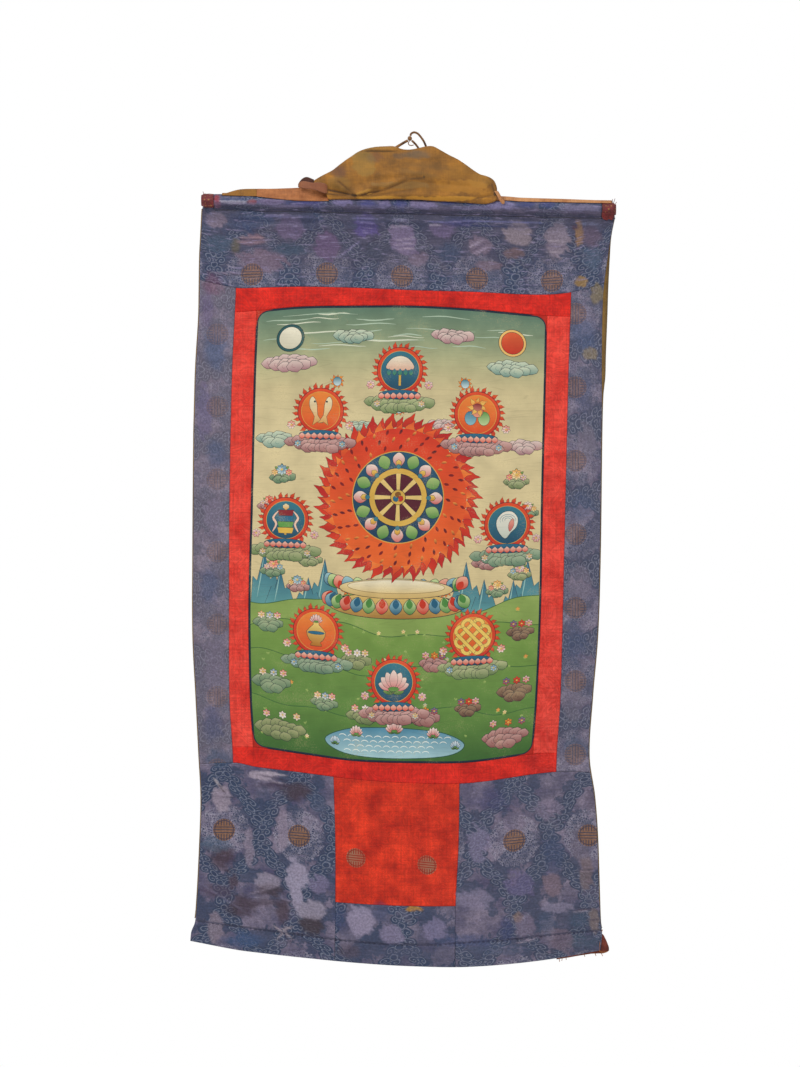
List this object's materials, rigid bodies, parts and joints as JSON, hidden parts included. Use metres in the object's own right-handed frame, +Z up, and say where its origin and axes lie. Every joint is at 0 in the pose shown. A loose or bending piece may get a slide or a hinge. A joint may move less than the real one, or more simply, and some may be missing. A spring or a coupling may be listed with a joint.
{
  "type": "thangka scroll painting with its bunched veil and hanging cord",
  "caption": "Painted cloth in a red damask frame and blue brocade mount, hanging from a sleeved stave with a bunched silk veil and a cord loop.",
  "frame": {"origin": "where the hook bears, inside the top of the hanging cord's loop", "axes": "+Z up the hanging cloth, -Y out of the painted face towards the viewer, +X to the viewer's right"},
  "size_m": [0.8525, 0.0518, 1.6701],
  "materials": {
    "brocade": "blue and violet silk damask, satin",
    "red_damask": "vermilion silk damask, satin",
    "door_damask": "mottled red silk damask",
    "painted_canvas": "cotton with matt mineral colours on a chalk ground",
    "veil_silk": "worn ochre silk",
    "copper_silk": "copper-coloured silk",
    "peach_silk": "faded peach silk",
    "lining_cotton": "plain ochre cotton",
    "cap_silk": "maroon silk with gold threads",
    "patch_cotton": "plain red-brown cotton",
    "hanging_cord": "twisted brown cord"
  },
  "bodies": {
    "root": {"brocade_heading": "brocade", "red_strip_top": "red_damask", "red_strip_left": "red_damask", "red_strip_right": "red_damask", "red_strip_bottom": "red_damask", "painted_canvas": "painted_canvas", "brocade_strip_left": "brocade", "brocade_strip_right": "brocade", "brocade_bottom_left": "brocade", "brocade_bottom_right": "brocade", "brocade_under_door": "brocade", "door_panel": "door_damask", "lining_sheet": "lining_cotton", "corner_patch": "patch_cotton", "sleeve_cap_left": "cap_silk", "sleeve_cap_right": "cap_silk", "veil": "veil_silk", "sash_left": "veil_silk", "copper_band": "copper_silk", "copper_curl": "copper_silk", "ribbon_right": "peach_silk", "ribbon_tail": "peach_silk", "cord_loop": "hanging_cord", "cord_inner": "hanging_cord", "cord_strap": "hanging_cord", "cord_knot": "hanging_cord", "cord_ring": "hanging_cord"}
  },
  "joints": []
}
